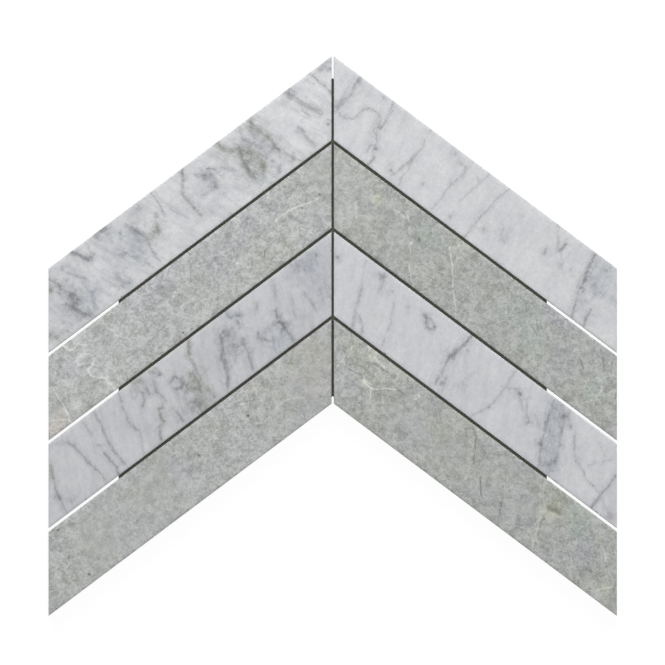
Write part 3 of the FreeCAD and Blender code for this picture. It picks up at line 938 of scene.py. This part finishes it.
GREEN_LOWER_RIGHT = {
    "dark": [
        (22, 0.04, (152, 18), (172, 18)), (20, 0.035, (66, 18), (88, 18)),
        (1, 0.6, (31, 5.8), (35, 6), (40, 5.4)), (1, 1, (44.2, 5.4)),
        (1, 0.5, (49, 9.6), (52, 9.2), (56, 9.6)), (0.8, 0.4, (22, 16.3), (25, 16), (29, 15)),
        (0.9, 0.7, (62, 7)), (1.8, 0.5, (38, 32)),
        (0.8, 0.7, (98, 4), (99.8, 7), (102, 10.5), (104, 14), (106, 17)),
        (0.6, 0.4, (100.5, 4.5), (103, 9), (105, 13)), (0.7, 0.8, (113.5, 20.5), (116, 24), (119.3, 28)),
        (0.7, 0.8, (129.8, 24), (131.5, 27), (133.5, 30.5)),
        (0.7, 0.4, (152, 11.8), (155, 10.2), (158, 10)),
        (0.8, 0.8, (153.8, 17.5), (153.3, 20), (154.5, 22.5)), (0.8, 0.7, (155.8, 24.5), (156.3, 27.5)),
        (0.8, 0.5, (157.5, 31), (159, 34)), (1.3, 0.8, (188, 25.8), (190.5, 25)), (2, 0.45, (137, 15.3)),
        (0.8, 0.4, (127, 4)), (1.6, 0.25, (142, 8.5)), (4, 0.12, (160, 27), (164, 32)),
        (0.9, 0.6, (169, 26)), (0.9, 0.4, (145.5, 21)),
    ],
    "calm": [
        (24, 0.6, (60, 18), (140, 18)),
    ],
    "yellow": [
        (1.7, 0.7, (24, 0.5), (26, 3), (28, 4.5)), (1, 0.6, (16, 2), (17.5, 4), (16.5, 6), (18, 8)),
        (2.8, 0.6, (33.7, 16.3)), (0.8, 0.8, (32.5, 17.5), (34.5, 15.5), (36.5, 16)),
        (1.4, 0.4, (29, 1), (30, 3)), (5, 0.4, (151, 14), (156, 14.5)), (2.4, 0.3, (159, 12)),
        (0.8, 0.6, (150, 16), (153, 13), (157, 13)),
        (0.8, 0.7, (152.3, 18), (152, 20), (153.8, 23), (155, 26.5), (156.3, 30), (158.8, 34.5)),
        (4, 0.25, (202, 27), (203, 30)), (0.7, 0.6, (199, 31), (202, 28), (205, 25)),
    ],
    "light": [
        (1.1, 0.7, (29, 3), (33, 4), (37, 4.4)), (0.7, 0.5, (16.5, 12), (17, 15), (16.6, 19)),
        (0.9, 0.7, (31, 14.5), (33, 16.5), (36, 17.5), (38.5, 17)),
        (0.7, 0.6, (35, 6.5), (36, 8), (35, 9.5), (36.5, 10.5)),
        (0.7, 0.7, (38.5, 17.3), (41.5, 15.8), (43, 14), (46, 11.8), (49, 10)),
        (0.7, 0.5, (38, 18), (39.5, 20), (41, 22.3)),
        (0.6, 0.4, (41.5, 3.5), (44.5, 3), (46.3, 5), (45, 7.5)),
        (0.7, 0.6, (60, 4.5), (61.5, 6), (60.5, 8)), (1, 0.5, (106.5, 22), (107.5, 26)),
        (0.7, 0.2, (142, 2), (145, 7), (149, 12)), (0.8, 0.5, (188, 11), (191, 13.5), (193.7, 16)),
        (0.7, 0.3, (195, 28), (194, 34)),
    ],
    "olive": [
        (9, 0.2, (75, 12), (81, 15)), (9, 0.2, (14, 6), (30, 12)), (7, 0.5, (155, 4), (154, 10)),
        (3, 0.4, (183, 8.5), (186, 9.5)),
    ],
    "ochre": [
        (2.6, 0.6, (152, 11.3), (158, 10)), (1.2, 0.5, (153, 13), (156, 9), (159, 8)),
    ],
    "violet": [
        (9, 0.25, (180, 19), (185, 23)), (4, 0.3, (104, 5)), (4, 0.25, (98, 20)),
        (9, 0.18, (115, 27), (143, 28)),
    ],
    "teal": [
        (11, 0.3, (165, 6), (174, 12)),
    ],
    "pit_shade": [
        (0.9, 0.6, (195.8, 18.5)),
    ],
}
# Each strip: its node, its tone, how far its clouds go from that tone, and its marks.
GREEN_STRIPS = [
    ("green_marble_upper_left", (168, 170, 169), 25, GREEN_UPPER_LEFT),
    ("green_marble_upper_right", (158, 160, 157), 17, GREEN_UPPER_RIGHT),
    ("green_marble_lower_left", (165, 167, 165), 14, GREEN_LOWER_LEFT),
    ("green_marble_lower_right", (159, 161, 158), 18, GREEN_LOWER_RIGHT),
]
for seed, (node, tone, spread, marks) in enumerate(GREEN_STRIPS, start=len(WHITE_STRIPS)):
    stone = green_marble(node, strip_facts(node), seed, tone, spread, marks)
    lay_strip(node, seed, stone)


# FLOOR, LIGHT AND CAMERA
# The sheet lies face up on a pale floor, lit softly from beyond its point and seen from straight above
# through a long lens. The floor looks white to the eye, and keeps a faint shadow.

scene = bpy.context.scene
scene.view_settings.view_transform = "Standard"

FLOOR_REACH, FLOOR_DROP = 6.0, 0.2 * MM
FLOOR_LIT, FLOOR_SEEN, FLOOR_GLOW = 0.8, 0.06, 0.955
floor_mesh = bpy.data.meshes.new("floor")
corners = [(x * FLOOR_REACH, y * FLOOR_REACH, -FLOOR_DROP) for x, y in ((-1, -1), (1, -1), (1, 1), (-1, 1))]
floor_mesh.from_pydata(corners, [], [(0, 1, 2, 3)])
floor = bpy.data.objects.new("floor", floor_mesh)
scene.collection.objects.link(floor)


def grey(level):
    return (level, level, level, 1.0)


def seen_directly(start):
    """1 for what is seen, also in a mirror or through glass, and 0 for light on its way to a surface."""
    sight = start.node("ShaderNodeLightPath", result="Is Camera Ray")
    for other in ("Is Glossy Ray", "Is Transmission Ray"):
        sight = sight.maths("MAXIMUM", sight, start.node("ShaderNodeLightPath", result=other))
    return sight


floor_finish, shader, start = new_finish("pale floor")
sight = seen_directly(start)
feed(
    shader, base_color=sight.between(grey(FLOOR_LIT), grey(FLOOR_SEEN)),
    roughness=0.9, specular_ior_level=0.0,
    emission_color=sight.between(grey(0.0), grey(FLOOR_GLOW)), emission_strength=1.0,
)
floor_mesh.materials.append(floor_finish)

FILL = 0.36
world = bpy.data.worlds.new("studio")
world.use_nodes = True
scene.world = world
sight = seen_directly(Socket(world.node_tree))
feed(world.node_tree.nodes["Background"], color=grey(1.0), strength=FILL + (1 - FILL) * sight)

# Each lamp: its place, its width and its power. It faces the middle of the sheet.
LAMPS = {
    "left soft key": (Vector((-0.85, 2.25, 1.7)), 1.2, 40.5),
    "right soft key": (Vector((0.85, 2.25, 1.7)), 1.2, 40.5),
    "overhead softbox": (Vector((0.0, 0.2, 2.6)), 0.7, 8.0),
}
for name, (lamp_place, lamp_size, power) in LAMPS.items():
    light = bpy.data.lights.new(name, "AREA")
    light.energy = power
    light.size = lamp_size
    lamp = bpy.data.objects.new(name, light)
    lamp.location = lamp_place
    lamp.rotation_euler = lamp_place.to_track_quat("Z", "Y").to_euler()
    lamp.visible_camera = False
    scene.collection.objects.link(lamp)

LENS, SENSOR = 900.0, 36.0
VIEW_WIDTH = 355.2 * MM
VIEW_CENTRE = (-0.1 * MM, 1.9 * MM)
camera_data = bpy.data.cameras.new("camera")
camera_data.lens = LENS
camera_data.sensor_width = SENSOR
camera_data.clip_end = 50.0
camera = bpy.data.objects.new("camera", camera_data)
camera.location = (*VIEW_CENTRE, cad_box[1][2] + VIEW_WIDTH * LENS / SENSOR)
scene.collection.objects.link(camera)
scene.camera = camera
